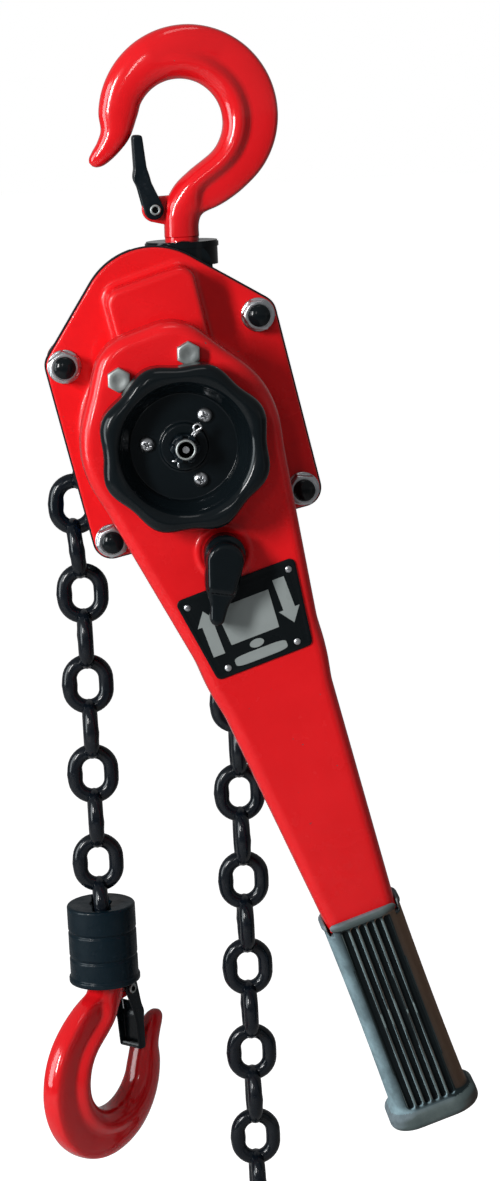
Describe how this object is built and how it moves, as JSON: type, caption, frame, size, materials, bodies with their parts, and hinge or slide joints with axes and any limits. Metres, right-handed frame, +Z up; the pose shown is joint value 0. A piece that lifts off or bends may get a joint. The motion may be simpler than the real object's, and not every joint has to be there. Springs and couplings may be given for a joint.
{
  "type": "come along winch",
  "caption": "Lever chain hoist with a red body and pull lever, black lobed hand wheel, swivel hooks with safety latches, a load chain with hook block and a hanging slack chain.",
  "frame": {"origin": "middle of the top hook's bowl, where the hook hangs on its ring", "axes": "+Z up along the hanging chains, hand wheel towards -Y, +X to the right seen from the hand wheel"},
  "size_m": [0.2242, 0.143, 0.6771],
  "materials": {
    "red_paint": "gloss",
    "black_paint": "gloss",
    "black_oxide": "satin",
    "bright_steel": "zinc plated",
    "dark_steel": "machined",
    "blue_paint": "satin",
    "lining": "pressed",
    "plate_face": "printed",
    "rubber_grip": "matt"
  },
  "bodies": {
    "top_hook_body": {"top_hook": "red_paint", "top_latch_pin": "bright_steel"},
    "top_latch_body": {"top_latch": "black_oxide", "top_latch_spring": "bright_steel"},
    "yoke_body": {"yoke_front": "black_paint", "yoke_rear": "black_paint", "yoke_screws": "bright_steel"},
    "frame_body": {"front_plate": "black_paint", "rear_plate": "black_paint", "bearings": "dark_steel", "brake_cover": "red_paint", "gear_case": "red_paint", "stay_bolts": "black_oxide", "stay_nuts": "bright_steel", "spacers": "bright_steel", "chain_guide": "blue_paint", "stripper": "dark_steel", "slack_bar": "bright_steel", "top_pin": "bright_steel", "load_sheave": "dark_steel", "load_gear": "dark_steel", "wrapped_chain": "black_oxide", "drive_shaft": "dark_steel", "gear_upper": "dark_steel", "gear_lower": "dark_steel", "castle_nut": "black_oxide", "split_pin": "bright_steel", "friction_hub": "dark_steel", "friction_discs": "lining", "ratchet_disc": "dark_steel", "pawl_pins": "dark_steel", "pawl_springs": "bright_steel"},
    "pawl_upper_body": {"pawl_upper": "dark_steel"},
    "pawl_lower_body": {"pawl_lower": "dark_steel"},
    "wheel_body": {"change_gear": "dark_steel", "hand_wheel": "black_paint", "wheel_screws": "bright_steel"},
    "lever_body": {"lever_front": "red_paint", "lever_rear": "red_paint", "lever_bolts": "bright_steel", "nameplate": "plate_face", "plate_rivets": "bright_steel", "grip": "rubber_grip", "detent_plunger": "dark_steel", "detent_spring": "bright_steel"},
    "selector_body": {"selector_knob": "black_paint", "selector_shaft": "dark_steel", "selector_pawl": "dark_steel"},
    "load_fall": {"load_chain": "black_oxide", "block_front": "black_oxide", "block_rear": "black_oxide", "block_screws": "black_oxide", "eye_pin": "dark_steel"},
    "bottom_hook_body": {"bottom_hook": "red_paint", "bottom_latch_pin": "bright_steel"},
    "bottom_latch_body": {"bottom_latch": "black_oxide", "bottom_latch_spring": "bright_steel"},
    "slack_fall": {"tail_chain": "black_oxide", "end_ring": "bright_steel"}
  },
  "joints": [
    {"name": "top_latch_hinge", "type": "hinge", "parent": "top_hook_body", "child": "top_latch_body", "pos_m": [-0.0143, 0, -0.0638], "axis": [0, 1, 0], "range_deg": [0, 22], "stiffness_Nm_per_rad": 0.04, "springref_deg": -17.19},
    {"name": "top_swivel", "type": "hinge", "parent": "top_hook_body", "child": "yoke_body", "pos_m": [-0.0012, 0, -0.088], "axis": [0, 0, 1], "continuous": true},
    {"name": "yoke_pin", "type": "hinge", "parent": "yoke_body", "child": "frame_body", "pos_m": [-0.0015, 0, -0.106], "axis": [0, 1, 0], "range_deg": [0, 8]},
    {"name": "lever_swing", "type": "hinge", "parent": "frame_body", "child": "lever_body", "pos_m": [-0.0107, -0.047, -0.1731], "axis": [0, 1, 0], "range_deg": [-200, 12]},
    {"name": "selector_turn", "type": "hinge", "parent": "lever_body", "child": "selector_body", "pos_m": [0.00673, -0.08, -0.22737], "axis": [0, 1, 0], "range_deg": [-56, 0]},
    {"name": "wheel_turn", "type": "hinge", "parent": "frame_body", "child": "wheel_body", "pos_m": [-0.0107, -0.08, -0.1731], "axis": [0, -1, 0], "range_deg": [0, 90]},
    {"name": "pawl_upper_hinge", "type": "hinge", "parent": "frame_body", "child": "pawl_upper_body", "pos_m": [-0.02331, -0.029, -0.12059], "axis": [0, -1, 0], "range_deg": [0, 8], "stiffness_Nm_per_rad": 0.05, "springref_deg": -17.19},
    {"name": "pawl_lower_hinge", "type": "hinge", "parent": "frame_body", "child": "pawl_lower_body", "pos_m": [-0.03668, -0.029, -0.20352], "axis": [0, -1, 0], "range_deg": [0, 8], "stiffness_Nm_per_rad": 0.05, "springref_deg": -17.19},
    {"name": "load_fall_swing", "type": "hinge", "parent": "frame_body", "child": "load_fall", "pos_m": [-0.064, 0, -0.2224], "axis": [0, 1, 0], "range_deg": [-2, 15]},
    {"name": "bottom_swivel", "type": "hinge", "parent": "load_fall", "child": "bottom_hook_body", "pos_m": [-0.0613, 0, -0.452], "axis": [0, 0, 1], "continuous": true},
    {"name": "bottom_latch_hinge", "type": "hinge", "parent": "bottom_hook_body", "child": "bottom_latch_body", "pos_m": [-0.05271, 0.00954, -0.47388], "axis": [-0.7431, 0.6691, 0], "range_deg": [0, 22], "stiffness_Nm_per_rad": 0.04, "springref_deg": -17.19},
    {"name": "slack_fall_swing", "type": "hinge", "parent": "frame_body", "child": "slack_fall", "pos_m": [0.0148, 0, -0.20896], "axis": [0, 1, 0], "range_deg": [-12, 2]}
  ]
}
